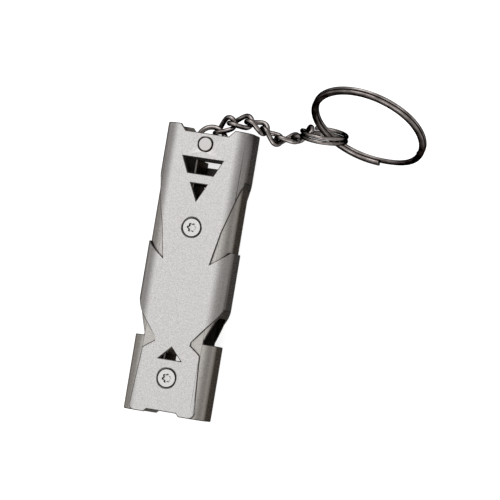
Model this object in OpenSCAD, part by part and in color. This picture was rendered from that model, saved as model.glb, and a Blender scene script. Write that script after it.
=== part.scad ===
// Metal referee whistle with two sound channels, a chain, a connector ring and a key ring.
// Millimetres. X runs across, +Y toward the chain end, +Z out of the front face.
// The back lies on z = 0 and the origin is the middle of the back face.

/* [Body] */
// Length of the body from the mouth end to the chain end
body_length = 61; // [50:0.1:74]
// Width of the outer shell
body_width = 18.8; // [15:0.1:24]
// Depth of the outer shell from back to front
body_depth = 11; // [9:0.1:14]
// Outside radius of the long edges
edge_radius = 3.4; // [2:0.1:4.4]
// Thickness of the outer sheet
outer_sheet = 0.45; // [0.3:0.01:0.6]
// Thickness of the inner tube
inner_sheet = 0.45; // [0.3:0.01:0.6]
// Gap between pieces that are fixed to each other
seat_gap = 0.02; // [0.01:0.005:0.05]

/* [Side cut-outs of the outer shell] */
// Distance of the V cut-out's tip from the middle, over the sheet
v_tip_across = 5.2; // [3.5:0.1:5.8]
// Distance of the V cut-out's tip from the chain end
v_tip_from_end = 28.4; // [25:0.1:30]
// Distance over the sheet at which the lower flank meets the side
v_side_across = 9.4; // [8:0.1:10.5]
// Distance of the lower flank from the chain end at the side
v_side_from_end = 25.3; // [24:0.1:26]
// Distance over the sheet at which the upper flank bends
v_bend_across = 6.4; // [5.5:0.1:7]
// Distance of that bend from the chain end
v_bend_from_end = 22; // [18:0.1:24]
// Distance over the sheet at which the upper flank nears the side
v_top_across = 8.6; // [7.5:0.1:9]
// Distance of that point from the chain end
v_top_from_end = 14.2; // [12:0.1:16]
// Distance of the cut-out's top at the side from the chain end
v_crown_from_end = 10.3; // [8:0.1:11.5]
// Half width of the waist
waist_half = 3.85; // [3:0.05:5]
// Height of the waist's inner corner above the mouth end
waist_corner_at = 15.2; // [14:0.1:16.5]
// Height at which the waist's flank starts above its inner corner
waist_throat = 0.7; // [0.3:0.1:1.5]
// Height of the shell's lower edge at the side above the mouth end
waist_side_at = 23.5; // [21:0.1:26]
// Distance over the sheet at which the flank reaches that edge
waist_side_across = 10.3; // [9:0.1:11]
// Half width of the tongue at its top corner
tongue_top_half = 6.3; // [5:0.1:7.5]
// Height of the tongue's top corner above the mouth end
tongue_top_at = 13.4; // [12:0.1:14.5]
// Half width of the tongue at the mouth end
tongue_foot_half = 7.2; // [5.5:0.1:8]
// Corner radius of the tongue
tongue_corner = 1.1; // [0.3:0.1:1.6]

/* [Openings in both tubes] */
// Half width of the notch in the chain end at its edge
end_notch_half = 5.9; // [4:0.1:7]
// Half width of that notch at its floor
end_notch_floor_half = 4.7; // [3:0.1:6]
// Depth of that notch
end_notch_depth = 1.4; // [0.5:0.1:2]
// Half width of the window at its top
window_top_half = 4.35; // [3:0.05:6]
// Half width of the window at its bottom
window_foot_half = 2.8; // [1.5:0.05:4]
// Distance of the window's top from the chain end
window_from_end = 6.76; // [6:0.02:8]
// Height of the window in the front
window_height = 3.3; // [2:0.1:4.5]
// Height of the window in the back
back_window_height = 1.2; // [0.8:0.1:3.3]
// Half width of the upper triangle
upper_triangle_half = 1.76; // [1:0.02:3]
// Distance of the upper triangle's flat side from the chain end
upper_triangle_from_end = 12.14; // [11:0.02:13]
// Height of the upper triangle
upper_triangle_height = 3.5; // [2:0.1:4.2]
// Half width of the lower triangle
lower_triangle_half = 2.36; // [1:0.02:3]
// Height of the lower triangle's flat side above the mouth end
lower_triangle_at = 11.6; // [11:0.1:12]
// Height of the lower triangle
lower_triangle_height = 2.55; // [1.5:0.05:3]
// Half width of the notch in the mouth end at its edge
mouth_notch_half = 3.76; // [2:0.02:5]
// Half width of that notch at its floor
mouth_notch_floor_half = 3.22; // [1.5:0.02:4.5]
// Depth of that notch
mouth_notch_depth = 0.65; // [0.3:0.05:0.7]

/* [Sound openings in the sides of the inner tube] */
// Half width of the front that stands between the two sound openings
sound_opening_half = 6.5; // [5:0.1:7.5]
// Height of the sleeve below the sound openings
sleeve_height = 15.9; // [15:0.1:16.5]
// Height of the sound opening's tip above the mouth end
sound_tip_at = 22.6; // [20:0.1:23.2]
// Width of the air slot along each side wall of the mouthpiece
windway = 1.2; // [0.8:0.05:2]

/* [Inside] */
// Thickness of the plate between the two channels
divider_thickness = 0.5; // [0.3:0.05:0.8]
// Distance of the plate's right face from the middle, to the left
divider_offset = 1.25; // [1.1:0.05:2]
// Distance of the plate and the mouth blocks from the mouth end
mouth_setback = 0.8; // [0.7:0.1:2]
// Distance of the plate from the chain end
divider_from_end = 7; // [6.6:0.1:9]
// Distance of the end plugs' near face from the chain end
plug_from_end = 18.4; // [17:0.1:19]
// Length of the end plugs
plug_length = 6; // [5:0.1:8]

/* [Screws and pin] */
// Radius of the screw's shank
screw_radius = 1; // [0.8:0.05:1.05]
// Length of each screw with its head
screw_length = 4; // [3:0.1:5]
// Radius of the screw's head
screw_head_radius = 1.9; // [1.6:0.05:2.2]
// Gap round the screw's head
screw_head_gap = 0.2; // [0.05:0.01:0.3]
// Distance of the upper screws from the chain end
upper_screw_from_end = 21.4; // [21:0.1:22]
// Height of the lower screws above the mouth end
lower_screw_at = 7.65; // [5:0.05:9]
// Radius of the six-lobe recess
recess_radius = 0.95; // [0.7:0.05:1.1]
// Depth of the six-lobe recess
recess_depth = 0.6; // [0.3:0.05:0.8]
// Radius of the chain pin
pin_radius = 1.55; // [1.2:0.05:1.8]
// Distance of the chain pin from the chain end
pin_from_end = 3.7; // [3.5:0.1:4]
// Height of the pin's end above the front face
pin_proud = 0.15; // [0.05:0.05:0.3]

/* [Pin ring and chain] */
// Gap between two pieces of the chain where they touch
chain_gap = 0.08; // [0.05:0.01:0.12]
// Diameter of the wire of the pin ring and the links
chain_wire = 1.1; // [0.9:0.02:1.16]
// Outside diameter of the pin ring
pin_ring_diameter = 7.43; // [6.2:0.01:8]
// Height of the pin ring above the back face
pin_ring_height = 5.7; // [3:0.1:8]
// Length of one link
link_length = 6; // [5.4:0.1:7]
// Width of one link
link_width = 4.2; // [3.8:0.1:4.6]
// Twist of one link from end to end
link_twist = 87; // [70:1:90]

/* [Connector ring] */
// Outside diameter of the connector ring
connector_diameter = 10.4; // [9.5:0.1:12]
// Diameter of the connector ring's wire
connector_wire = 0.95; // [0.8:0.01:1]
// Angle of the zone in which a single wire crosses between the two turns
connector_cross = 70; // [50:1:90]
// Slack between the last link and the connector ring, whose wire crosses there
connector_slack = 0.14; // [0.12:0.01:0.4]

/* [Key ring] */
// Outside diameter of the key ring
key_ring_diameter = 25.4; // [20:0.1:32]
// Width of the key ring's wire, seen along the ring's axis
key_ring_wire = 1.45; // [1:0.05:1.8]
// Height of one turn of the key ring
key_ring_turn = 0.73; // [0.6:0.01:0.9]
// Angle of the zone in which a single wire crosses between the two turns
key_ring_cross = 56; // [40:1:80]
// Slack between the connector ring and the key ring, whose doubled wires cross
key_ring_slack = 0.68; // [0.65:0.01:1]
// Gap between the two turns of a split ring
turn_gap = 0.03; // [0.02:0.01:0.05]

/* [Pose of the chain] */
// Direction in which the pin ring hangs off the pin
pin_ring_swing = 10; // [-40:0.1:60]
// Place on the pin ring where the first link hooks
pin_ring_hook = 76.7; // [20:0.1:120]
// Swing of each link about the wire before it
link_swing = [4.3, -8.5, -31.5, 8.7, 26.6, 35.5]; // [-90:0.1:90]
// Turn of each link about its own end wire
link_turn = [-34.3, -28.5, -21.6, -18.6, 36.6, 2]; // [-90:0.1:90]
// Swing of the connector ring about the last link
connector_swing = -20.8; // [-90:0.1:90]
// Turn of the connector ring about its own wire
connector_turn = -39.4; // [-90:0.1:90]
// Lean of the connector ring
connector_lean = 44.8; // [-90:0.1:90]
// Rotation of the connector ring in its own plane
connector_rotation = -8.1; // [-180:0.1:180]
// Place on the connector ring where the key ring hooks
connector_hook = -56.3; // [-180:0.1:180]
// Swing of the key ring about the connector ring
key_ring_swing = -73.3; // [-90:0.1:90]
// Turn of the key ring about its own wire
key_ring_turned = 55.5; // [-90:0.1:90]
// Lean of the key ring
key_ring_lean = -13.1; // [-90:0.1:90]
// Rotation of the key ring in its own plane
key_ring_rotation = 289.6; // [0:0.1:360]

/* [Hidden] */
inner_width = body_width - 2 * (outer_sheet + seat_gap);
inner_depth = body_depth - 2 * (outer_sheet + seat_gap);
inner_edge = edge_radius - outer_sheet - seat_gap;
cavity_width = inner_width - 2 * inner_sheet;
cavity_depth = inner_depth - 2 * inner_sheet;
cavity_edge = inner_edge - inner_sheet;
flat_half = body_width / 2 - edge_radius;
beyond = body_width;
past = 1;
overlap = 0.001;
cut_height = body_depth + 2 * past;
bore_sides = 64;
recess_sides = 32;
ring_sides = 96;
pin_at = body_length - pin_from_end;
upper_screw_at = body_length - upper_screw_from_end;
plug_top = body_length - plug_from_end;
plug_foot = plug_top - plug_length;
divider_top = body_length - divider_from_end;
divider_right = -divider_offset;
divider_left = divider_right - divider_thickness;
block_half = cavity_width / 2 - windway;
ring_radius = (pin_ring_diameter - chain_wire) / 2;
link_half = (link_length - chain_wire) / 2;
link_bend = (link_width - chain_wire) / 2;
link_run = 2 * (link_half - link_bend);
connector_radius = (connector_diameter - connector_wire) / 2;
key_ring_radius = (key_ring_diameter - key_ring_wire) / 2;
sweep_sides = 12;
link_rings = 40;
connector_rings = 100;
key_ring_rings = 150;
tangent_step = 0.002;
link_count = len(link_swing);

// Distance across the front by which a notch opens past the body's end
notch_flare = 0.5;
// Fall of the V cut-out's top over the rounded edge
crown_fall = 0.2;
// Width of the waist's inner corner below its flank
throat_step = 0.1;
// Height of the upright edge of each sound opening above the sleeve
sound_lip = 0.6;
// Place of the sound opening's bend between that edge and the tip, across and up
sound_bend = [0.68, 0.77];
// Depth by which each screw's bore passes the screw's foot
bore_foot = 0.3;
// Core of the recess, place of its lobes and their size, as parts of its radius
recess_core = 0.72;
lobe_at = 0.76;
lobe_size = 0.24;
// Angle round a split ring at which its wire crosses, and that angle one turn on
wire_crossing = 180;
crossing_middle = wire_crossing + 360;

steel = [0.82, 0.81, 0.80];
gunmetal = [0.45, 0.42, 0.41];

// Front view outlines

// Distance across the front for a distance measured over the bent sheet
function over_edge(s) =
    s < flat_half ? s : flat_half + edge_radius * sin(min(90, (s - flat_half) / edge_radius * 180 / PI));

// Point list of a line over the sheet, cut into short steps where it rounds the edge
function sheet_line(from, to, steps = 6) =
    [for (i = [0 : steps]) let (p = from + (to - from) * i / steps) [over_edge(p.x), p.y]];

function unit(v) = v / norm(v);

// Arc that replaces corner b between a and c
function corner_arc(a, b, c, r, steps = 6) =
    let (
        u = unit(a - b),
        v = unit(c - b),
        half = acos(u * v) / 2,
        centre = b + unit(u + v) * r / sin(half),
        from = b + u * r / tan(half) - centre,
        to = b + v * r / tan(half) - centre,
        start = atan2(from.y, from.x),
        turn = atan2(from.x * to.y - from.y * to.x, from * to)
    )
    [for (i = [0 : steps]) centre + r * [cos(start + turn * i / steps), sin(start + turn * i / steps)]];

module both_sides() {
    children();
    mirror([1, 0, 0]) children();
}

module through_cut() translate([0, 0, -past]) linear_extrude(cut_height) children();

// V cut-out in the side of the outer shell
module v_outline() {
    tip = [v_tip_across, body_length - v_tip_from_end];
    low = [v_side_across, body_length - v_side_from_end];
    bend = [v_bend_across, body_length - v_bend_from_end];
    top = [v_top_across, body_length - v_top_from_end];
    crown = body_length - v_crown_from_end;
    polygon(concat(
        sheet_line(tip, low),
        [[beyond, low.y], [beyond, crown]],
        [[over_edge(v_top_across + edge_radius / 2), crown - crown_fall]],
        sheet_line(top, bend),
        [tip]
    ));
}

// Cut-out in the side of the outer shell at the waist
module waist_outline() {
    inner = [waist_half, waist_corner_at];
    throat = [waist_half + throat_step, waist_corner_at + waist_throat];
    side = [waist_side_across, waist_side_at];
    tongue = [tongue_top_half, tongue_top_at];
    foot = [tongue_foot_half, 0];
    polygon(concat(
        [throat],
        sheet_line([throat.x, throat.y], side),
        [[beyond, waist_side_at], [beyond, -past], [foot.x, -past]],
        corner_arc([0, 0], foot, tongue, tongue_corner),
        corner_arc(foot, tongue, inner, tongue_corner),
        [inner]
    ));
}

module end_notches() {
    polygon([
        [-end_notch_half - notch_flare, body_length + past], [-end_notch_half, body_length],
        [-end_notch_floor_half, body_length - end_notch_depth],
        [end_notch_floor_half, body_length - end_notch_depth],
        [end_notch_half, body_length], [end_notch_half + notch_flare, body_length + past]
    ]);
    polygon([
        [-mouth_notch_half - notch_flare, -past], [-mouth_notch_half, 0],
        [-mouth_notch_floor_half, mouth_notch_depth],
        [mouth_notch_floor_half, mouth_notch_depth],
        [mouth_notch_half, 0], [mouth_notch_half + notch_flare, -past]
    ]);
}

module lower_triangle() {
    polygon([
        [-lower_triangle_half, lower_triangle_at],
        [lower_triangle_half, lower_triangle_at],
        [0, lower_triangle_at + lower_triangle_height]
    ]);
}

// Window with its flanks on the lines of the front window, cut off at the given height
module window_outline(height) {
    top = body_length - window_from_end;
    slope = (window_top_half - window_foot_half) / window_height;
    polygon([
        [-window_top_half, top], [-window_top_half + slope * height, top - height],
        [window_top_half - slope * height, top - height], [window_top_half, top]
    ]);
}

// Windows in the front and in the back, through both tubes
module window_cuts() {
    translate([0, 0, body_depth / 2]) linear_extrude(body_depth) window_outline(window_height);
    translate([0, 0, -past]) linear_extrude(body_depth / 2 + past) window_outline(back_window_height);
}

// Triangles that pass through both tubes
module openings() {
    triangle_top = body_length - upper_triangle_from_end;
    polygon([
        [-upper_triangle_half, triangle_top],
        [0, triangle_top - upper_triangle_height],
        [upper_triangle_half, triangle_top]
    ]);
    lower_triangle();
}

// Tubes

// Rounded rectangle seen along the body
module section(width, depth, radius) {
    square([width - 2 * radius, depth], center = true);
    square([width, depth - 2 * radius], center = true);
    for (sx = [-1, 1], sy = [-1, 1])
        translate([sx * (width / 2 - radius), sy * (depth / 2 - radius)]) circle(radius, $fn = bore_sides);
}

// Extrudes a section along the body from one station to another
module along_body(from, to)
    translate([0, to, body_depth / 2]) rotate([90, 0, 0]) linear_extrude(to - from) children();

// Bores for the screws and the pin, through both sheets of the front and the back
module fastener_bores() {
    for (at = [lower_screw_at, upper_screw_at]) at_front_and_back(at) screw_bore();
    translate([0, pin_at, -past]) cylinder(cut_height, r = pin_radius + seat_gap, $fn = bore_sides);
}

// Places a child with its top on the front face, and again on the back face
module at_front_and_back(at) {
    at_front(at) children();
    at_back(at) children();
}

module at_front(at) translate([0, at, body_depth]) children();

module at_back(at) translate([0, at, 0]) rotate([0, 180, 0]) children();

// Countersunk bore with the head's gap round it
module screw_bore() {
    top = screw_head_radius + screw_head_gap;
    translate([0, 0, -top]) cylinder(top, r1 = 0, r2 = top, $fn = bore_sides);
    translate([0, 0, -overlap]) cylinder(past, r = top, $fn = bore_sides);
    translate([0, 0, -screw_length - bore_foot])
        cylinder(screw_length, r = screw_radius + seat_gap, $fn = bore_sides);
}

module outer_shell() color(steel) difference() {
    along_body(0, body_length) difference() {
        section(body_width, body_depth, edge_radius);
        section(body_width - 2 * outer_sheet, body_depth - 2 * outer_sheet, edge_radius - outer_sheet);
    }
    through_cut() both_sides() v_outline();
    through_cut() both_sides() waist_outline();
    through_cut() end_notches();
    through_cut() openings();
    window_cuts();
    fastener_bores();
}

// Sound opening in one side of the inner tube
module sound_outline() {
    corner = [sound_opening_half, sleeve_height];
    tip = [inner_width / 2, sound_tip_at];
    polygon([
        corner, corner + [0, sound_lip],
        [corner.x + sound_bend.x * (tip.x - corner.x), corner.y + sound_bend.y * (tip.y - corner.y)],
        tip, [beyond, tip.y], [beyond, corner.y]
    ]);
}

module inner_tube() color(steel) difference() {
    along_body(0, body_length) difference() {
        section(inner_width, inner_depth, inner_edge);
        section(cavity_width, cavity_depth, cavity_edge);
    }
    through_cut() both_sides() sound_outline();
    through_cut() end_notches();
    through_cut() openings();
    window_cuts();
    fastener_bores();
}

// Pieces inside

// Solid that fills the tube between two stations and two sides
module filling(from, to, left, right) intersection() {
    along_body(from, to)
        section(cavity_width - 2 * seat_gap, cavity_depth - 2 * seat_gap, cavity_edge - seat_gap);
    translate([left, from - past, 0]) cube([right - left, to - from + 2 * past, body_depth]);
}

module divider_plate() color(steel)
    filling(mouth_setback, divider_top, divider_left, divider_right);

module mouth_block(left, right) difference() {
    filling(mouth_setback, sleeve_height, left, right);
    through_cut() lower_triangle();
    at_front_and_back(lower_screw_at) screw_bore();
}

module left_mouth_block() color(steel) mouth_block(-block_half, divider_left - seat_gap);

module right_mouth_block() color(steel) mouth_block(divider_right + seat_gap, block_half);

module end_plug(left, right) difference() {
    filling(plug_foot, plug_top, left, right);
    at_front_and_back(upper_screw_at) screw_bore();
}

module left_end_plug() color(steel) end_plug(-beyond, divider_left - seat_gap);

module right_end_plug() color(steel) end_plug(divider_right + seat_gap, beyond);

// Screws and pin

module screw() difference() {
    union() {
        translate([0, 0, -screw_head_radius + screw_radius])
            cylinder(
                screw_head_radius - screw_radius, r1 = screw_radius, r2 = screw_head_radius, $fn = bore_sides
            );
        translate([0, 0, -screw_length])
            cylinder(screw_length - screw_head_radius + screw_radius, r = screw_radius, $fn = bore_sides);
    }
    translate([0, 0, -recess_depth])
        cylinder(recess_depth + past, r = recess_core * recess_radius, $fn = recess_sides);
    for (i = [0 : 5])
        rotate(60 * i) translate([lobe_at * recess_radius, 0, -recess_depth])
            cylinder(recess_depth + past, r = lobe_size * recess_radius, $fn = recess_sides);
}

module front_upper_screw() color(steel) at_front(upper_screw_at) screw();

module front_lower_screw() color(steel) at_front(lower_screw_at) rotate(15) screw();

module back_upper_screw() color(steel) at_back(upper_screw_at) screw();

module back_lower_screw() color(steel) at_back(lower_screw_at) screw();

module chain_pin() color(steel)
    translate([0, pin_at, seat_gap])
        cylinder(body_depth + pin_proud - seat_gap, r = pin_radius, $fn = bore_sides);

// Wire shapes

// Cross-section of a wire: round at power 2 and flatter at higher powers
function wire_section(width, height, power) =
    [for (i = [0 : sweep_sides - 1])
        let (a = 360 * i / sweep_sides, c = cos(a), s = sin(a))
        [sign(c) * pow(abs(c), 2 / power) * width / 2, sign(s) * pow(abs(s), 2 / power) * height / 2]];

// Faces of a swept wire of n rings, either closed on itself or with flat ends
function sweep_faces(n, closed) =
    let (m = sweep_sides, last = closed ? n - 1 : n - 2)
    concat(
        [for (i = [0 : last], j = [0 : m - 1])
            let (k = (i + 1) % n, l = (j + 1) % m) [i * m + j, i * m + l, k * m + l]],
        [for (i = [0 : last], j = [0 : m - 1])
            let (k = (i + 1) % n, l = (j + 1) % m) [i * m + j, k * m + l, k * m + j]],
        closed ? [] : [[for (j = [0 : m - 1]) m - 1 - j], [for (j = [0 : m - 1]) (n - 1) * m + j]]
    );

// Link: a stadium loop with its two ends twisted against each other

function link_flat(t) =
    let (
        arc = PI * link_bend,
        s = t * 2 * (link_run + arc),
        a = (s - link_run) / link_bend * 180 / PI - 90,
        b = (s - 2 * link_run - arc) / link_bend * 180 / PI + 90
    )
    s < link_run ? [link_bend + s, -link_bend, 0, -1]
    : s < link_run + arc
        ? [2 * link_half - link_bend + link_bend * cos(a), link_bend * sin(a), cos(a), sin(a)]
    : s < 2 * link_run + arc ? [2 * link_half - link_bend - (s - link_run - arc), link_bend, 0, 1]
    : [link_bend + link_bend * cos(b), link_bend * sin(b), cos(b), sin(b)];

function link_lift(x, p) =
    let (a = -90 + link_twist * x / (2 * link_half)) [p.x, p.y * cos(a), p.y * sin(a)];

function link_point(t) = let (p = link_flat(t - floor(t))) link_lift(p[0], [p[0], p[1]]);

function link_ring(t, profile) =
    let (
        p = link_flat(t),
        along = unit(link_point(t + tangent_step) - link_point(t - tangent_step)),
        out = link_lift(p[0], [p[2], p[3]]),
        u = unit(out - (out * along) * along),
        v = cross(along, u)
    )
    [for (q = profile) link_point(t) + q.x * u + q.y * v];

module link(rings = link_rings) {
    profile = wire_section(chain_wire, chain_wire, 2);
    points = [for (i = [0 : rings - 1]) each link_ring(i / rings, profile)];
    polyhedron(points, sweep_faces(rings, true));
}

// Split ring about Z: two turns, with one wire crossing between them on the -X side

function turn_level(a, cross, pitch) =
    let (t = max(0, min(1, (a - crossing_middle + cross / 2) / cross))) pitch * (3 * t * t - 2 * t * t * t - 0.5);

module split_ring(radius, width, height, power, cross, steps) {
    profile = wire_section(width, height, power);
    pitch = height + turn_gap;
    from = wire_crossing + cross / 2;
    to = from + 720 - cross;
    points = [
        for (i = [0 : steps])
            let (a = from + (to - from) * i / steps)
            for (q = profile)
                [(radius + q.x) * cos(a), (radius + q.x) * sin(a), turn_level(a, cross, pitch) + q.y]
    ];
    polyhedron(points, sweep_faces(steps + 1, false));
}

// Places of the moving pieces, each measured from the piece before it

module at_pin_ring() {
    play = ring_radius - chain_wire / 2 - pin_radius - chain_gap;
    translate([0, pin_at, pin_ring_height]) rotate(90 + pin_ring_swing) translate([play, 0, 0])
        rotate(-90 - pin_ring_swing) children();
}

// Hooks a wire of the given thickness inside the wire whose centre is the current origin
module hooked(thickness, before, gap, swing, turn, lean)
    rotate([0, -swing, 0]) translate([-(thickness + before) / 2 - gap, 0, 0])
        rotate(turn) rotate([lean, 0, 0]) children();

module at_link(number) {
    if (number == 1)
        at_pin_ring() rotate(pin_ring_hook) translate([ring_radius, 0, 0])
            hooked(chain_wire, chain_wire, chain_gap, link_swing[0], link_turn[0], 0) children();
    else
        at_link_end(number - 1)
            hooked(chain_wire, chain_wire, chain_gap, link_swing[number - 1], link_turn[number - 1], 0)
                children();
}

module at_link_end(number)
    at_link(number) translate([2 * link_half, 0, 0]) rotate([link_twist - 90, 0, 0]) children();

module at_connector()
    at_link_end(link_count)
        hooked(connector_wire, chain_wire, connector_slack, connector_swing, connector_turn, connector_lean)
            rotate([90, 0, 0]) translate([connector_radius, 0, 0]) children();

module at_key_ring()
    at_connector() rotate(connector_hook) translate([connector_radius, 0, 0])
        hooked(key_ring_wire, connector_wire, key_ring_slack, key_ring_swing, key_ring_turned, key_ring_lean)
            rotate([90, 0, 0]) translate([key_ring_radius, 0, 0]) rotate(key_ring_rotation) children();

module pin_ring() color(gunmetal)
    at_pin_ring() rotate_extrude($fn = ring_sides) translate([ring_radius, 0])
            circle(chain_wire / 2, $fn = recess_sides);

module chain_link(number) color(gunmetal) at_link(number) link();

module connector_ring() color(gunmetal)
    at_connector() rotate(connector_rotation)
        split_ring(connector_radius, connector_wire, connector_wire, 2, connector_cross, connector_rings);

module key_ring() color(gunmetal)
    at_key_ring() split_ring(key_ring_radius, key_ring_wire, key_ring_turn, 3, key_ring_cross,
            key_ring_rings);

module in_frame() translate([0, -body_length / 2, 0]) children();

in_frame() outer_shell();
in_frame() inner_tube();
in_frame() divider_plate();
in_frame() left_mouth_block();
in_frame() right_mouth_block();
in_frame() left_end_plug();
in_frame() right_end_plug();
in_frame() front_upper_screw();
in_frame() front_lower_screw();
in_frame() back_upper_screw();
in_frame() back_lower_screw();
in_frame() chain_pin();
in_frame() pin_ring();
in_frame() chain_link(1);  // chain_link_1
in_frame() chain_link(2);  // chain_link_2
in_frame() chain_link(3);  // chain_link_3
in_frame() chain_link(4);  // chain_link_4
in_frame() chain_link(5);  // chain_link_5
in_frame() chain_link(6);  // chain_link_6
in_frame() connector_ring();
in_frame() key_ring();
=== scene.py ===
"""Dresses the referee whistle, its chain and its rings, and stages them on a white floor."""

import logging
import math
from dataclasses import dataclass, field
from enum import Enum

import bmesh
import bpy
from mathutils import Matrix, Vector

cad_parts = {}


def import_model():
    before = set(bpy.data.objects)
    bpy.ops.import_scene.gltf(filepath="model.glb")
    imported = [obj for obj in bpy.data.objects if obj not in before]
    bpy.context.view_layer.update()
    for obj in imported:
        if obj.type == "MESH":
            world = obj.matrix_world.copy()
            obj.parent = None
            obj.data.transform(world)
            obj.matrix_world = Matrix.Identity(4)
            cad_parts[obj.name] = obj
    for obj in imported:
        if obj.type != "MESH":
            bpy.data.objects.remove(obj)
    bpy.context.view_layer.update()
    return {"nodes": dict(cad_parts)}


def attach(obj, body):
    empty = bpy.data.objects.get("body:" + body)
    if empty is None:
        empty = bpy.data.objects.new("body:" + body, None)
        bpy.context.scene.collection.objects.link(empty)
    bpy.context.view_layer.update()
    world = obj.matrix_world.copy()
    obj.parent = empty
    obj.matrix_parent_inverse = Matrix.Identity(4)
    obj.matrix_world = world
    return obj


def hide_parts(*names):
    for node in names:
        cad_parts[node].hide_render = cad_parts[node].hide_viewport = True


LOG = logging.getLogger("whistle")
MM = 0.001
MIDDLE_HEIGHT = 5.5 * MM  # height of the whistle's middle above its back
SENSOR_WIDTH = 36.0  # width of the camera's sensor in millimetres
GRAIN_LOW, GRAIN_HIGH = 0.36, 0.64  # grain values at which a metal is darkest and lightest
GRAIN_DETAIL, CLOUD_DETAIL = 3.0, 4.0  # octaves of the grain and of the broad cloud
PIT_SHARE = 0.6  # pits in a metre as a share of the grain
BUMP_STRENGTH = 0.5  # how far the grain turns the light
TURNED_SHADE_START, TURNED_SHADE_END = 0.08, 0.50  # turn away from the eye over which painted shade darkens a wire
WELD_DISTANCE = 0.0015 * MM  # corners nearer than this are one
Colour = tuple[float, float, float]


class NodeSheet:
    """A node tree with short calls for adding and joining nodes."""

    def __init__(self, tree: bpy.types.NodeTree) -> None:
        """Wraps a tree.

        Args:
            tree: The material's, world's or group's node tree.
        """
        self.tree = tree

    def add(self, kind: str, **settings: object) -> bpy.types.Node:
        """Adds a node.

        Args:
            kind: The node's type name.
            **settings: Attributes to set on it.

        Returns:
            The new node.
        """
        node = self.tree.nodes.new(kind)
        for name, value in settings.items():
            setattr(node, name, value)
        return node

    def join(self, source: bpy.types.NodeSocket, target: bpy.types.NodeSocket) -> None:
        """Links an output socket to an input socket."""
        self.tree.links.new(source, target)

    def ramp(
        self, value: bpy.types.NodeSocket, stops: list[tuple[float, Colour]]
    ) -> bpy.types.NodeSocket:
        """Turns a value into a colour.

        Args:
            value: The socket that drives the ramp.
            stops: Places and colours from low to high.

        Returns:
            The ramp's colour output.
        """
        node = self.add("ShaderNodeValToRGB")
        elements = node.color_ramp.elements
        while len(elements) < len(stops):
            elements.new(1.0)
        for element, (place, colour) in zip(elements, stops):
            element.position = place
            element.color = (*colour, 1.0)
        self.join(value, node.inputs["Fac"])
        return node.outputs["Color"]

    def span(self, value: bpy.types.NodeSocket, low: float, high: float) -> bpy.types.NodeSocket:
        """Maps a 0 to 1 value onto a range.

        Args:
            value: The socket to map.
            low: Result at 0.
            high: Result at 1.

        Returns:
            The mapped value.
        """
        node = self.add("ShaderNodeMapRange")
        node.inputs["To Min"].default_value = low
        node.inputs["To Max"].default_value = high
        self.join(value, node.inputs["Value"])
        return node.outputs["Result"]

    def darken(
        self, colour: bpy.types.NodeSocket, tone: Colour, mask: bpy.types.NodeSocket
    ) -> bpy.types.NodeSocket:
        """Multiplies a colour by a tone where a mask is high.

        Args:
            colour: The colour to change.
            tone: The factors for red, green and blue.
            mask: Where they hold, from 0 to 1.

        Returns:
            The changed colour.
        """
        node = self.add("ShaderNodeMix", data_type="RGBA", blend_type="MULTIPLY")
        self.join(mask, node.inputs["Factor"])
        self.join(colour, node.inputs["A"])
        node.inputs["B"].default_value = (*tone, 1.0)
        return node.outputs["Result"]


def new_group(
    name: str, inputs: list[tuple[str, float]], outputs: list[str]
) -> tuple[NodeSheet, bpy.types.Node, bpy.types.Node]:
    """Makes an empty shader node group.

    Args:
        name: The group's name.
        inputs: Names and default values of its number inputs.
        outputs: Names of its number outputs.

    Returns:
        The group's sheet, its input node and its output node.
    """
    tree = bpy.data.node_groups.new(name, "ShaderNodeTree")
    number = "NodeSocketFloat"
    for label, value in inputs:
        socket = tree.interface.new_socket(name=label, in_out="INPUT", socket_type=number)
        socket.default_value = value
    for label in outputs:
        tree.interface.new_socket(name=label, in_out="OUTPUT", socket_type=number)
    sheet = NodeSheet(tree)
    return sheet, sheet.add("NodeGroupInput"), sheet.add("NodeGroupOutput")


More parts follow.
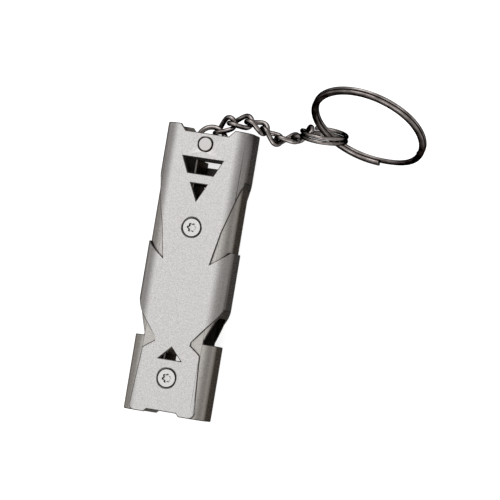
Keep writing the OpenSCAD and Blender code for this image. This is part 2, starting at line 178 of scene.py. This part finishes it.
def build_satin_group() -> bpy.types.NodeTree:
    """Makes the fine grain that blasting and tumbling leave on metal.

    Returns:
        A group that puts out a speckle, a broad cloud and a height.
    """
    sheet, source, result = new_group(
        "satin_grain",
        [("Grain Scale", 5000.0), ("Cloud Scale", 60.0), ("Stretch", 1.0)],
        ["Speckle", "Cloud", "Height"],
    )
    place = sheet.add("ShaderNodeTexCoord")
    stretch = sheet.add("ShaderNodeVectorMath", operation="MULTIPLY")
    along = sheet.add("ShaderNodeCombineXYZ")
    along.inputs["X"].default_value = 1.0
    along.inputs["Z"].default_value = 1.0
    sheet.join(source.outputs["Stretch"], along.inputs["Y"])
    sheet.join(place.outputs["Object"], stretch.inputs[0])
    sheet.join(along.outputs["Vector"], stretch.inputs[1])
    grain = sheet.add("ShaderNodeTexNoise")
    grain.inputs["Detail"].default_value = GRAIN_DETAIL
    sheet.join(stretch.outputs["Vector"], grain.inputs["Vector"])
    sheet.join(source.outputs["Grain Scale"], grain.inputs["Scale"])
    cloud = sheet.add("ShaderNodeTexNoise")
    cloud.inputs["Detail"].default_value = CLOUD_DETAIL
    sheet.join(place.outputs["Object"], cloud.inputs["Vector"])
    sheet.join(source.outputs["Cloud Scale"], cloud.inputs["Scale"])
    pits = sheet.add("ShaderNodeTexVoronoi", feature="F1")
    pits_scale = sheet.add("ShaderNodeMath", operation="MULTIPLY")
    pits_scale.inputs[1].default_value = PIT_SHARE
    sheet.join(source.outputs["Grain Scale"], pits_scale.inputs[0])
    sheet.join(pits_scale.outputs["Value"], pits.inputs["Scale"])
    sheet.join(place.outputs["Object"], pits.inputs["Vector"])
    height = sheet.add("ShaderNodeMath", operation="ADD")
    sheet.join(grain.outputs["Fac"], height.inputs[0])
    sheet.join(pits.outputs["Distance"], height.inputs[1])
    sheet.join(grain.outputs["Fac"], result.inputs["Speckle"])
    sheet.join(cloud.outputs["Fac"], result.inputs["Cloud"])
    sheet.join(height.outputs["Value"], result.inputs["Height"])
    return sheet.tree


def build_place_group() -> bpy.types.NodeTree:
    """Makes the masks for the shade painted on the whistle's bends, flanks and inside, which its
    flats don't get.

    Returns:
        A group that puts out 1 past the bends, 1 on the flanks and 1 inside the tubes, where shade
        is painted.
    """
    sheet, source, result = new_group(
        "whistle_shade_masks",
        [
            ("Flat Half", 6.0 * MM), ("Bend Half", 8.0 * MM), ("Flank Half", 9.4 * MM),
            ("Core Depth", 2.1 * MM), ("Hollow Reach", 2.7 * MM),
        ],
        ["Bend", "Flank", "Hollow"],
    )
    place = sheet.add("ShaderNodeTexCoord")
    split = sheet.add("ShaderNodeSeparateXYZ")
    sheet.join(place.outputs["Object"], split.inputs["Vector"])
    across = sheet.add("ShaderNodeMath", operation="ABSOLUTE")
    sheet.join(split.outputs["X"], across.inputs[0])
    spans = (("Flat Half", "Bend Half", "Bend"), ("Bend Half", "Flank Half", "Flank"))
    for low, high, label in spans:
        mask = sheet.add("ShaderNodeMapRange", interpolation_type="SMOOTHSTEP")
        sheet.join(across.outputs["Value"], mask.inputs["Value"])
        sheet.join(source.outputs[low], mask.inputs["From Min"])
        sheet.join(source.outputs[high], mask.inputs["From Max"])
        sheet.join(mask.outputs["Result"], result.inputs[label])
    level = sheet.add("ShaderNodeMath", operation="SUBTRACT")
    level.inputs[1].default_value = MIDDLE_HEIGHT
    sheet.join(split.outputs["Z"], level.inputs[0])
    deep = sheet.add("ShaderNodeMath", operation="ABSOLUTE")
    sheet.join(level.outputs["Value"], deep.inputs[0])
    past_core: list[bpy.types.NodeSocket] = []
    for value, half in ((across, "Flat Half"), (deep, "Core Depth")):
        over = sheet.add("ShaderNodeMath", operation="SUBTRACT")
        sheet.join(value.outputs["Value"], over.inputs[0])
        sheet.join(source.outputs[half], over.inputs[1])
        kept = sheet.add("ShaderNodeMath", operation="MAXIMUM")
        sheet.join(over.outputs["Value"], kept.inputs[0])
        kept.inputs[1].default_value = 0.0
        past_core.append(kept.outputs["Value"])
    corner = sheet.add("ShaderNodeCombineXYZ")
    sheet.join(past_core[0], corner.inputs["X"])
    sheet.join(past_core[1], corner.inputs["Y"])
    reach = sheet.add("ShaderNodeVectorMath", operation="LENGTH")
    sheet.join(corner.outputs["Vector"], reach.inputs[0])
    hollow_shade = sheet.add("ShaderNodeMath", operation="LESS_THAN")
    sheet.join(reach.outputs["Value"], hollow_shade.inputs[0])
    sheet.join(source.outputs["Hollow Reach"], hollow_shade.inputs[1])
    sheet.join(hollow_shade.outputs["Value"], result.inputs["Hollow"])
    return sheet.tree


class Surface(Enum):
    """Named metal surfaces of the object."""

    SHELL = "shell_satin"
    TUBE = "tube_satin"
    # CUT_SHADE and EDGE_SHADE are painted shade: near black on the sheets' cut faces and edge
    # roundings, which draws dark lines along the edges.
    CUT_SHADE = "cut_edge_shade"
    EDGE_SHADE = "painted_edge_shade"
    INSERT = "insert_metal"
    # RECESS_SHADE is painted shade: near black in screw recesses and on the rims of screws and pin.
    RECESS_SHADE = "recess_painted_shade"
    SCREW = "screw_steel"
    PIN = "pin_steel"
    NICKEL = "dark_nickel"
    WIRE = "dark_nickel_wire"


@dataclass(frozen=True)
class MetalFinish:
    """A metal with a fine grain, slow drifts of tone and, where set, painted shade.

    Attributes:
        dark: Base colour where the grain is low.
        light: Base colour where the grain is high.
        tint: Colour that drifts in over broad areas.
        drift: Share of the tint at its strongest.
        rough: Lowest and highest roughness.
        grain: Grain cells in a metre.
        bump: Depth of the grain in metres.
        stretch: Squeeze of the grain along the body.
        patch: Patches in a metre that the tint drifts in.
        bend_shade: Painted shade past the bends, as factors on the colour, or None for no change.
        flank_shade: Further painted shade on the flanks, as factors on the colour, or None for no
            change.
        hollow_shade: Painted shade inside the tubes, as factors on the colour, or None for no
            change.
        reach: Distance from the section's core within which a face is inside, in metres.
        rim: Tint of the metal where it is seen at a grazing angle.
        turned_shade: Painted shade, as a factor on the colour where a wire turns away from the eye,
            or 1 for no change.
    """

    dark: Colour
    light: Colour
    tint: Colour
    drift: float
    rough: tuple[float, float]
    grain: float
    bump: float
    stretch: float = 1.0
    patch: float = 90.0
    bend_shade: Colour | None = None
    flank_shade: Colour | None = None
    hollow_shade: Colour | None = None
    reach: float = 2.7 * MM
    rim: float = 0.5
    turned_shade: float = 1.0

    def build(
        self, name: str, group: bpy.types.NodeTree, places: bpy.types.NodeTree
    ) -> bpy.types.Material:
        """Makes the material.

        Args:
            name: The material's name.
            group: The grain group.
            places: The group of masks that tell where shade is painted on the sides and inside the
                tubes.

        Returns:
            The finished material.
        """
        material = bpy.data.materials.new(name)
        material.use_nodes = True
        sheet = NodeSheet(material.node_tree)
        shader = material.node_tree.nodes["Principled BSDF"]
        shader.inputs["Metallic"].default_value = 1.0
        shader.inputs["Specular Tint"].default_value = (self.rim, self.rim, self.rim, 1.0)
        grain = sheet.add("ShaderNodeGroup", node_tree=group)
        grain.inputs["Grain Scale"].default_value = self.grain
        grain.inputs["Cloud Scale"].default_value = self.patch
        grain.inputs["Stretch"].default_value = self.stretch
        stops = [(GRAIN_LOW, self.dark), (GRAIN_HIGH, self.light)]
        base = sheet.ramp(grain.outputs["Speckle"], stops)
        mix = sheet.add("ShaderNodeMix", data_type="RGBA")
        sheet.join(sheet.span(grain.outputs["Cloud"], 0.0, self.drift), mix.inputs["Factor"])
        sheet.join(base, mix.inputs["A"])
        mix.inputs["B"].default_value = (*self.tint, 1.0)
        colour = mix.outputs["Result"]
        # Painted shade: the colour is darkened past the bends, on the flanks and inside the tubes.
        if self.bend_shade or self.flank_shade or self.hollow_shade:
            where = sheet.add("ShaderNodeGroup", node_tree=places)
            where.inputs["Hollow Reach"].default_value = self.reach
            tones = {"Bend": self.bend_shade, "Flank": self.flank_shade, "Hollow": self.hollow_shade}
            for mask, tone in tones.items():
                if tone:
                    colour = sheet.darken(colour, tone, where.outputs[mask])
        # Painted shade: the wire's colour darkens where it turns away from the eye.
        if self.turned_shade < 1.0:
            turned = sheet.add("ShaderNodeLayerWeight")
            edge = sheet.add("ShaderNodeMapRange", interpolation_type="SMOOTHSTEP")
            edge.inputs["From Min"].default_value = TURNED_SHADE_START
            edge.inputs["From Max"].default_value = TURNED_SHADE_END
            sheet.join(turned.outputs["Facing"], edge.inputs["Value"])
            tone = (self.turned_shade, self.turned_shade, self.turned_shade)
            colour = sheet.darken(colour, tone, edge.outputs["Result"])
        sheet.join(colour, shader.inputs["Base Color"])
        sheet.join(sheet.span(grain.outputs["Speckle"], *self.rough), shader.inputs["Roughness"])
        bump = sheet.add("ShaderNodeBump")
        bump.inputs["Distance"].default_value = self.bump
        bump.inputs["Strength"].default_value = BUMP_STRENGTH
        sheet.join(grain.outputs["Height"], bump.inputs["Height"])
        sheet.join(bump.outputs["Normal"], shader.inputs["Normal"])
        return material


FINISHES: dict[Surface, MetalFinish] = {
    # On the shell and the tube, bend, flank and hollow paint shade on the rounded sides and inside.
    Surface.SHELL: MetalFinish(
        dark=(0.435, 0.422, 0.413), light=(0.635, 0.622, 0.613), tint=(0.525, 0.512, 0.50),
        drift=0.4, rough=(0.33, 0.42), grain=4200.0, bump=0.006 * MM,
        bend_shade=(0.50, 0.49, 0.485), flank_shade=(0.46, 0.455, 0.45), hollow_shade=(0.30, 0.295, 0.29),
        reach=3.2 * MM, rim=0.2,
    ),
    Surface.TUBE: MetalFinish(
        dark=(0.36, 0.345, 0.335), light=(0.56, 0.54, 0.525), tint=(0.42, 0.39, 0.35),
        drift=0.6, rough=(0.28, 0.40), grain=4200.0, bump=0.006 * MM,
        bend_shade=(0.50, 0.485, 0.47), flank_shade=(0.44, 0.425, 0.41), hollow_shade=(0.27, 0.26, 0.25),
        rim=0.2,
    ),
    # Painted shade: near black on the cut faces of the sheets.
    Surface.CUT_SHADE: MetalFinish(
        dark=(0.035, 0.032, 0.03), light=(0.09, 0.085, 0.08), tint=(0.06, 0.052, 0.045),
        drift=0.6, rough=(0.35, 0.55), grain=3600.0, bump=0.008 * MM, stretch=6.0, rim=0.3,
    ),
    # Painted shade: near black on the roundings of the sheet edges.
    Surface.EDGE_SHADE: MetalFinish(
        dark=(0.03, 0.028, 0.027), light=(0.09, 0.085, 0.083), tint=(0.06, 0.05, 0.045),
        drift=0.4, rough=(0.26, 0.40), grain=3000.0, bump=0.002 * MM, rim=0.3,
    ),
    # Painted shade: near black for screw recess walls and the rims of screws and pin.
    Surface.RECESS_SHADE: MetalFinish(
        dark=(0.02, 0.019, 0.018), light=(0.07, 0.065, 0.06), tint=(0.05, 0.04, 0.03),
        drift=0.6, rough=(0.40, 0.60), grain=3000.0, bump=0.006 * MM,
    ),
    Surface.INSERT: MetalFinish(
        dark=(0.17, 0.145, 0.11), light=(0.34, 0.29, 0.22), tint=(0.26, 0.18, 0.10),
        drift=0.8, rough=(0.40, 0.60), grain=3600.0, bump=0.01 * MM,
    ),
    Surface.SCREW: MetalFinish(
        dark=(0.56, 0.55, 0.54), light=(0.74, 0.73, 0.72), tint=(0.62, 0.60, 0.58),
        drift=0.4, rough=(0.22, 0.32), grain=6000.0, bump=0.003 * MM,
    ),
    Surface.PIN: MetalFinish(
        dark=(0.50, 0.485, 0.475), light=(0.61, 0.595, 0.58), tint=(0.54, 0.52, 0.50),
        drift=0.4, rough=(0.26, 0.36), grain=6000.0, bump=0.003 * MM,
    ),
    # On both wire finishes, outline paints shade where a wire turns away from the eye.
    Surface.NICKEL: MetalFinish(
        dark=(0.13, 0.112, 0.106), light=(0.34, 0.31, 0.30), tint=(0.19, 0.16, 0.148),
        drift=0.4, rough=(0.13, 0.22), grain=420.0, bump=0.008 * MM,
        patch=160.0, rim=0.05, turned_shade=0.16,
    ),
    Surface.WIRE: MetalFinish(
        dark=(0.10, 0.086, 0.081), light=(0.30, 0.275, 0.265), tint=(0.15, 0.125, 0.115),
        drift=0.4, rough=(0.13, 0.22), grain=700.0, bump=0.008 * MM,
        patch=260.0, rim=0.05, turned_shade=0.14,
    ),
}


class MetalRack:
    """Holds the finished materials by name."""

    def __init__(self) -> None:
        """Builds every finish once."""
        group = build_satin_group()
        places = build_place_group()
        self.materials = {
            surface: finish.build(surface.value, group, places)
            for surface, finish in FINISHES.items()
        }

    def dress(self, piece: bpy.types.Object, *surfaces: Surface) -> None:
        """Gives a new piece its materials in slot order.

        Args:
            piece: The object to dress.
            *surfaces: The finishes that it takes.
        """
        for surface in surfaces:
            piece.data.materials.append(self.materials[surface])


def merged_copy(node: bpy.types.Object, name: str, flat_angle: float = 0.3) -> bpy.types.Object:
    """Copies a CAD node as one joined mesh with its flat faces whole.

    Args:
        node: The CAD node's object.
        name: Name of the new piece.
        flat_angle: Angle in degrees below which neighbouring faces join.

    Returns:
        The new object, at the origin.
    """
    mesh = bpy.data.meshes.new(name)
    work = bmesh.new()
    work.from_mesh(node.data)
    bmesh.ops.remove_doubles(work, verts=work.verts[:], dist=WELD_DISTANCE)
    if flat_angle > 0:
        bmesh.ops.dissolve_limit(
            work, angle_limit=math.radians(flat_angle), use_dissolve_boundaries=False,
            verts=work.verts[:], edges=work.edges[:],
        )
    for face in work.faces:
        face.smooth = True
    work.to_mesh(mesh)
    work.free()
    piece = bpy.data.objects.new(name, mesh)
    bpy.context.scene.collection.objects.link(piece)
    return piece


def soften_edges(
    piece: bpy.types.Object, width: float, segments: int = 2, angle: float = 32.0, slot: int = -1
) -> None:
    """Rounds the sharp edges of a piece and shades the rest smooth.

    Args:
        piece: The object.
        width: Width of the rounding in metres.
        segments: Faces across the rounding.
        angle: Angle in degrees from which an edge counts as sharp.
        slot: Material slot of the rounding, or -1 for that of its neighbours.
    """
    bevel = piece.modifiers.new("edge", "BEVEL")
    bevel.width = width
    bevel.segments = segments
    bevel.limit_method = "ANGLE"
    bevel.angle_limit = math.radians(angle)
    bevel.use_clamp_overlap = False
    bevel.harden_normals = False
    bevel.material = slot
    weighted = piece.modifiers.new("normals", "WEIGHTED_NORMAL")
    weighted.keep_sharp = True


def stand_in(piece: bpy.types.Object, node: str, body: str) -> bpy.types.Object:
    """Puts a piece in a CAD node's place.

    Args:
        piece: The new piece.
        node: The CAD node that it replaces.
        body: The body that it rides on.

    Returns:
        The piece.
    """
    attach(piece, body)
    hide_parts(node)
    LOG.info("%s: %d faces, rides %s", piece.name, len(piece.data.polygons), body)
    return piece


@dataclass(frozen=True)
class TubeSection:
    """Rounded section of a tube, seen along the body.

    Attributes:
        half_width: Half its width in metres.
        half_depth: Half its depth in metres.
        radius: Outside radius of its long edges in metres.
        sheet: Thickness of its sheet in metres.
    """

    half_width: float
    half_depth: float
    radius: float
    sheet: float

    def depth(self, point: Vector) -> float:
        """Tells how deep a point lies under the outside of the section.

        Args:
            point: A point in metres.

        Returns:
            Its depth in metres, below 0 when it lies outside.
        """
        across = abs(point.x) - self.half_width + self.radius
        along = abs(point.z - MIDDLE_HEIGHT) - self.half_depth + self.radius
        corner = math.hypot(max(across, 0.0), max(along, 0.0)) + min(max(across, along), 0.0)
        return self.radius - corner

    def is_cut(self, face: bmesh.types.BMFace) -> bool:
        """Tells a cut face of the sheet from its outside and its inside.

        Args:
            face: A face of the tube.

        Returns:
            True where the face crosses the sheet.
        """
        depths = [self.depth(vert.co) for vert in face.verts]
        return max(depths) - min(depths) > 0.5 * self.sheet


@dataclass
class WhistleBody:
    """The two tubes and what they hold.

    Attributes:
        nodes: The CAD nodes by name.
        rack: The finishes.
        sheet_edge: Rounding of the cut sheet edges in metres.
        insert_edge: Rounding of the blocks' edges in metres.
        shell: Section of the outer shell.
        tube: Section of the inner tube.
    """

    nodes: dict[str, bpy.types.Object]
    rack: MetalRack
    sheet_edge: float = 0.18 * MM
    insert_edge: float = 0.12 * MM
    shell: TubeSection = TubeSection(9.4 * MM, 5.5 * MM, 3.4 * MM, 0.45 * MM)
    tube: TubeSection = TubeSection(8.93 * MM, 5.03 * MM, 2.93 * MM, 0.45 * MM)

    def tube_part(self, node: str, surface: Surface, section: TubeSection) -> bpy.types.Object:
        """Finishes one of the two tubes, with painted shade on its cut faces and edge roundings.

        Args:
            node: The CAD node.
            surface: The finish of its outside and inside.
            section: Its section, which tells its cut faces.

        Returns:
            The finished piece.
        """
        piece = merged_copy(self.nodes[node], node + "_finished")
        work = bmesh.new()
        work.from_mesh(piece.data)
        bmesh.ops.connect_verts_concave(work, faces=work.faces[:])
        for face in work.faces:
            face.material_index = 1 if section.is_cut(face) else 0
        work.to_mesh(piece.data)
        work.free()
        # Slot 1, the cut faces, and slot 2, the edge roundings, take painted shade.
        soften_edges(piece, self.sheet_edge, segments=3, slot=2)
        self.rack.dress(piece, surface, Surface.CUT_SHADE, Surface.EDGE_SHADE)
        return stand_in(piece, node, "whistle")

    def part(self, node: str, surface: Surface, edge: float) -> bpy.types.Object:
        """Finishes one fixed piece.

        Args:
            node: The CAD node.
            surface: Its finish.
            edge: Rounding of its edges in metres.

        Returns:
            The finished piece.
        """
        piece = merged_copy(self.nodes[node], node + "_finished")
        soften_edges(piece, edge)
        self.rack.dress(piece, surface)
        return stand_in(piece, node, "whistle")

    def build(self) -> list[bpy.types.Object]:
        """Makes the tubes, the divider, the blocks and the plugs.

        Returns:
            The finished pieces.
        """
        made = [
            self.tube_part("outer_shell", Surface.SHELL, self.shell),
            self.tube_part("inner_tube", Surface.TUBE, self.tube),
            self.part("divider_plate", Surface.TUBE, self.sheet_edge),
        ]
        for node in ("left_mouth_block", "right_mouth_block", "left_end_plug", "right_end_plug"):
            made.append(self.part(node, Surface.INSERT, self.insert_edge))
        return made


@dataclass
class Fasteners:
    """The four screws and the chain pin.

    The walls of a screw's recess and the rims of screws and pin take painted shade, which draws
    dark rings round them.

    Attributes:
        nodes: The CAD nodes by name.
        rack: The finishes.
        screw_edge: Rounding of the head and its recess in metres.
        pin_edge: Rounding of the pin's ends in metres.
        face_depth: Height in metres from which a sloping or upright face counts as a wall.
        floor_depth: Depth in metres above which a level face stays bright.
    """

    nodes: dict[str, bpy.types.Object]
    rack: MetalRack
    screw_edge: float = 0.07 * MM
    pin_edge: float = 0.22 * MM
    face_depth: float = 0.05 * MM
    floor_depth: float = 1.2 * MM

    def mark_recess(self, piece: bpy.types.Object) -> None:
        """Gives all of a screw but its flat face and its recess floor the second material slot,
        which paints shade.

        Args:
            piece: The screw, at the origin of the frame.
        """
        work = bmesh.new()
        work.from_mesh(piece.data)
        low = min(vert.co.z for vert in work.verts)
        high = max(vert.co.z for vert in work.verts)
        front = low > MIDDLE_HEIGHT
        for face in work.faces:
            depths = [(high - vert.co.z) if front else (vert.co.z - low) for vert in face.verts]
            level = max(depths) - min(depths) < self.face_depth
            face.material_index = 0 if level and max(depths) < self.floor_depth else 1
        work.to_mesh(piece.data)
        work.free()

    def build(self) -> list[bpy.types.Object]:
        """Makes the screws and the pin.

        Returns:
            The finished pieces.
        """
        made = []
        places = ("front_upper", "front_lower", "back_upper", "back_lower")
        for node in (place + "_screw" for place in places):
            piece = merged_copy(self.nodes[node], node + "_finished")
            self.mark_recess(piece)
            soften_edges(piece, self.screw_edge, slot=1)
            # Slot 1, the recess walls and the head's rounding, takes painted shade.
            self.rack.dress(piece, Surface.SCREW, Surface.RECESS_SHADE)
            made.append(stand_in(piece, node, "whistle"))
        pin = merged_copy(self.nodes["chain_pin"], "chain_pin_finished")
        soften_edges(pin, self.pin_edge, segments=2, slot=1)
        # Slot 1, the pin's end roundings, takes painted shade.
        self.rack.dress(pin, Surface.PIN, Surface.RECESS_SHADE)
        made.append(stand_in(pin, "chain_pin", "whistle"))
        return made


@dataclass
class WireWork:
    """The pin ring, the links and the two split rings.

    Attributes:
        nodes: The CAD nodes by name.
        rack: The finishes.
        levels: Subdivision levels of the wires.
        end_crease: Sharpness of the cut wire ends.
        sharp_angle: Angle in radians from which an edge is one of a wire's end.
        shape_angle: Skew in radians that a joined pair of triangles may have.
    """

    nodes: dict[str, bpy.types.Object]
    rack: MetalRack
    levels: int = 2
    end_crease: float = 0.8
    sharp_angle: float = math.radians(60.0)
    shape_angle: float = math.radians(80.0)

    def smooth_wire(self, node: str, surface: Surface) -> bpy.types.Object:
        """Rounds a wire that the CAD holds as a many-sided sweep.

        Args:
            node: The CAD node, which is also its body.
            surface: Its finish.

        Returns:
            The finished piece.
        """
        piece = merged_copy(self.nodes[node], node + "_finished", flat_angle=0.0)
        work = bmesh.new()
        work.from_mesh(piece.data)
        bmesh.ops.join_triangles(
            work, faces=work.faces[:], angle_face_threshold=self.sharp_angle,
            angle_shape_threshold=self.shape_angle,
        )
        crease = work.edges.layers.float.new("crease_edge")
        for edge in work.edges:
            if len(edge.link_faces) == 2 and edge.calc_face_angle(0.0) > self.sharp_angle:
                edge[crease] = self.end_crease
        work.to_mesh(piece.data)
        work.free()
        rounded = piece.modifiers.new("round", "SUBSURF")
        rounded.levels = self.levels
        rounded.render_levels = self.levels
        self.rack.dress(piece, surface)
        return stand_in(piece, node, node)

    def plain_ring(self, node: str) -> bpy.types.Object:
        """Shades the round ring on the pin.

        Args:
            node: The CAD node, which is also its body.

        Returns:
            The finished piece.
        """
        piece = merged_copy(self.nodes[node], node + "_finished", flat_angle=0.0)
        self.rack.dress(piece, Surface.WIRE)
        return stand_in(piece, node, node)

    def build(self) -> list[bpy.types.Object]:
        """Makes the ring on the pin, the links, the connector ring and the key ring.

        Returns:
            The finished pieces.
        """
        made = [self.plain_ring("pin_ring")]
        for node in sorted(name for name in self.nodes if name.startswith("chain_link_")):
            made.append(self.smooth_wire(node, Surface.WIRE))
        made.append(self.smooth_wire("connector_ring", Surface.WIRE))
        made.append(self.smooth_wire("key_ring", Surface.NICKEL))
        return made


@dataclass(frozen=True)
class Lamp:
    """A square lamp that faces the object.

    Attributes:
        name: The lamp's name.
        place: Its place in metres.
        size: Side of the square in metres.
        watts: Its power.
    """

    name: str
    place: tuple[float, float, float]
    size: float
    watts: float


@dataclass
class Studio:
    """Floor, lamps, world and camera.

    Attributes:
        aim: The point at the middle of the picture, in metres.
        toward: Direction from that point to the camera.
        across: Direction of the object's width in the picture.
        roll: Turn of the object in the picture in degrees.
        field_width: Width of the picture at the aim in metres.
        lens: Focal length in millimetres.
        floor_glow: Share of the floor's white that the shadow leaves.
        floor_tone: Lightness of the floor where light falls on it.
        floor_half: Half the floor's width in metres.
        floor_level: Height of the floor in metres.
        world_stops: Colours of the surround from the horizon to overhead.
        world_light: Strength of the surround.
        lamps: The lamps.
    """

    aim: Vector = field(default_factory=lambda: Vector((13.25, 6.34, 11.0)) * MM)
    toward: Vector = field(default_factory=lambda: Vector((0.242, -0.035, 0.970)))
    across: Vector = field(default_factory=lambda: Vector((0.970, 0.0, -0.242)))
    roll: float = 9.45
    field_width: float = 0.1042
    lens: float = 260.0
    floor_glow: float = 0.72
    floor_tone: float = 0.5
    floor_half: float = 3.0
    floor_level: float = -0.02 * MM
    world_stops: tuple[tuple[float, Colour], ...] = (
        (0.0, (0.72, 0.715, 0.71)), (0.30, (0.76, 0.755, 0.75)),
        (0.62, (0.86, 0.86, 0.86)), (0.90, (1.0, 1.0, 1.0)),
    )
    world_light: float = 1.06
    lamps: tuple[Lamp, ...] = (
        Lamp("key_lamp", (-0.15, 0.55, 0.55), 0.60, 2.5),
        Lamp("fill_lamp", (0.10, -0.50, 0.45), 0.45, 1.3),
    )

    def camera(self) -> None:
        """Places the camera as in the photograph."""
        back = self.toward.normalized()
        side = (self.across - back * self.across.dot(back)).normalized()
        up = back.cross(side)
        turn = math.radians(self.roll)
        right = side * math.cos(turn) + up * math.sin(turn)
        top = up * math.cos(turn) - side * math.sin(turn)
        data = bpy.data.cameras.new("camera")
        data.lens = self.lens
        data.sensor_width = SENSOR_WIDTH
        data.clip_start = 0.01
        data.clip_end = 20.0
        distance = self.field_width * self.lens / SENSOR_WIDTH
        camera = bpy.data.objects.new("camera", data)
        spot = self.aim + back * distance
        camera.matrix_world = Matrix((
            (right.x, top.x, back.x, spot.x), (right.y, top.y, back.y, spot.y),
            (right.z, top.z, back.z, spot.z), (0, 0, 0, 1),
        ))
        bpy.context.scene.collection.objects.link(camera)
        bpy.context.scene.camera = camera

    def hang(self, lamp: Lamp) -> None:
        """Adds a lamp.

        Args:
            lamp: The lamp to add.
        """
        data = bpy.data.lights.new(lamp.name, "AREA")
        data.shape = "SQUARE"
        data.size = lamp.size
        data.energy = lamp.watts
        hung = bpy.data.objects.new(lamp.name, data)
        hung.location = lamp.place
        hung.rotation_euler = (self.aim - Vector(lamp.place)).to_track_quat("-Z", "Y").to_euler()
        bpy.context.scene.collection.objects.link(hung)

    def panel(
        self, name: str, corners: list[tuple[float, float, float]], material: bpy.types.Material
    ) -> None:
        """Adds a flat stage panel.

        Args:
            name: The panel's name.
            corners: Its four corners in order, in metres.
            material: Its material.
        """
        mesh = bpy.data.meshes.new(name)
        work = bmesh.new()
        work.faces.new([work.verts.new(corner) for corner in corners])
        work.to_mesh(mesh)
        work.free()
        panel = bpy.data.objects.new(name, mesh)
        panel.data.materials.append(material)
        bpy.context.scene.collection.objects.link(panel)

    def seen_directly(self, sheet: NodeSheet) -> bpy.types.NodeSocket:
        """Says where a ray comes from the camera, a mirror or glass.

        Args:
            sheet: The tree to build in.

        Returns:
            A socket that is 1 for such rays.
        """
        path = sheet.add("ShaderNodeLightPath")
        first = sheet.add("ShaderNodeMath", operation="MAXIMUM")
        second = sheet.add("ShaderNodeMath", operation="MAXIMUM")
        sheet.join(path.outputs["Is Camera Ray"], first.inputs[0])
        sheet.join(path.outputs["Is Glossy Ray"], first.inputs[1])
        sheet.join(first.outputs["Value"], second.inputs[0])
        sheet.join(path.outputs["Is Transmission Ray"], second.inputs[1])
        return second.outputs["Value"]

    def floor_material(self) -> bpy.types.Material:
        """Makes a white floor that keeps the shadow under the object.

        Returns:
            The floor's material.
        """
        material = bpy.data.materials.new("white_floor")
        material.use_nodes = True
        sheet = NodeSheet(material.node_tree)
        material.node_tree.nodes.clear()
        out = sheet.add("ShaderNodeOutputMaterial")
        diffuse = sheet.add("ShaderNodeBsdfDiffuse")
        diffuse.inputs["Color"].default_value = (*[self.floor_tone] * 3, 1.0)
        glow = sheet.add("ShaderNodeEmission")
        lift = sheet.add("ShaderNodeMath", operation="MULTIPLY")
        lift.inputs[1].default_value = self.floor_glow
        sheet.join(self.seen_directly(sheet), lift.inputs[0])
        sheet.join(lift.outputs["Value"], glow.inputs["Strength"])
        total = sheet.add("ShaderNodeAddShader")
        sheet.join(diffuse.outputs["BSDF"], total.inputs[0])
        sheet.join(glow.outputs["Emission"], total.inputs[1])
        sheet.join(total.outputs["Shader"], out.inputs["Surface"])
        return material

    def world(self) -> None:
        """Sets a surround that is bright overhead and greyer toward the horizon."""
        world = bpy.data.worlds.new("surround")
        bpy.context.scene.world = world
        world.use_nodes = True
        sheet = NodeSheet(world.node_tree)
        world.node_tree.nodes.clear()
        out = sheet.add("ShaderNodeOutputWorld")
        light = sheet.add("ShaderNodeBackground")
        place = sheet.add("ShaderNodeTexCoord")
        split = sheet.add("ShaderNodeSeparateXYZ")
        sheet.join(place.outputs["Generated"], split.inputs["Vector"])
        shade = sheet.ramp(split.outputs["Z"], list(self.world_stops))
        sheet.join(shade, light.inputs["Color"])
        light.inputs["Strength"].default_value = self.world_light
        sheet.join(light.outputs["Background"], out.inputs["Surface"])

    def build(self) -> None:
        """Sets up everything round the object."""
        scene = bpy.context.scene
        scene.view_settings.view_transform = "Standard"
        self.world()
        half, level = self.floor_half, self.floor_level
        corners = [(x * half, y * half, level) for x, y in ((-1, -1), (1, -1), (1, 1), (-1, 1))]
        self.panel("floor", corners, self.floor_material())
        for lamp in self.lamps:
            self.hang(lamp)
        self.camera()


def main() -> None:
    """Builds the pieces in order and reports each one."""
    logging.basicConfig(level=logging.INFO, format="%(message)s")
    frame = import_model()
    nodes = frame["nodes"]
    rack = MetalRack()
    made: list[bpy.types.Object] = []
    for assembly in (WhistleBody(nodes, rack), Fasteners(nodes, rack), WireWork(nodes, rack)):
        made.extend(assembly.build())
    Studio().build()
    LOG.info("%d pieces", len(made))


if __name__ == "__main__":
    main()
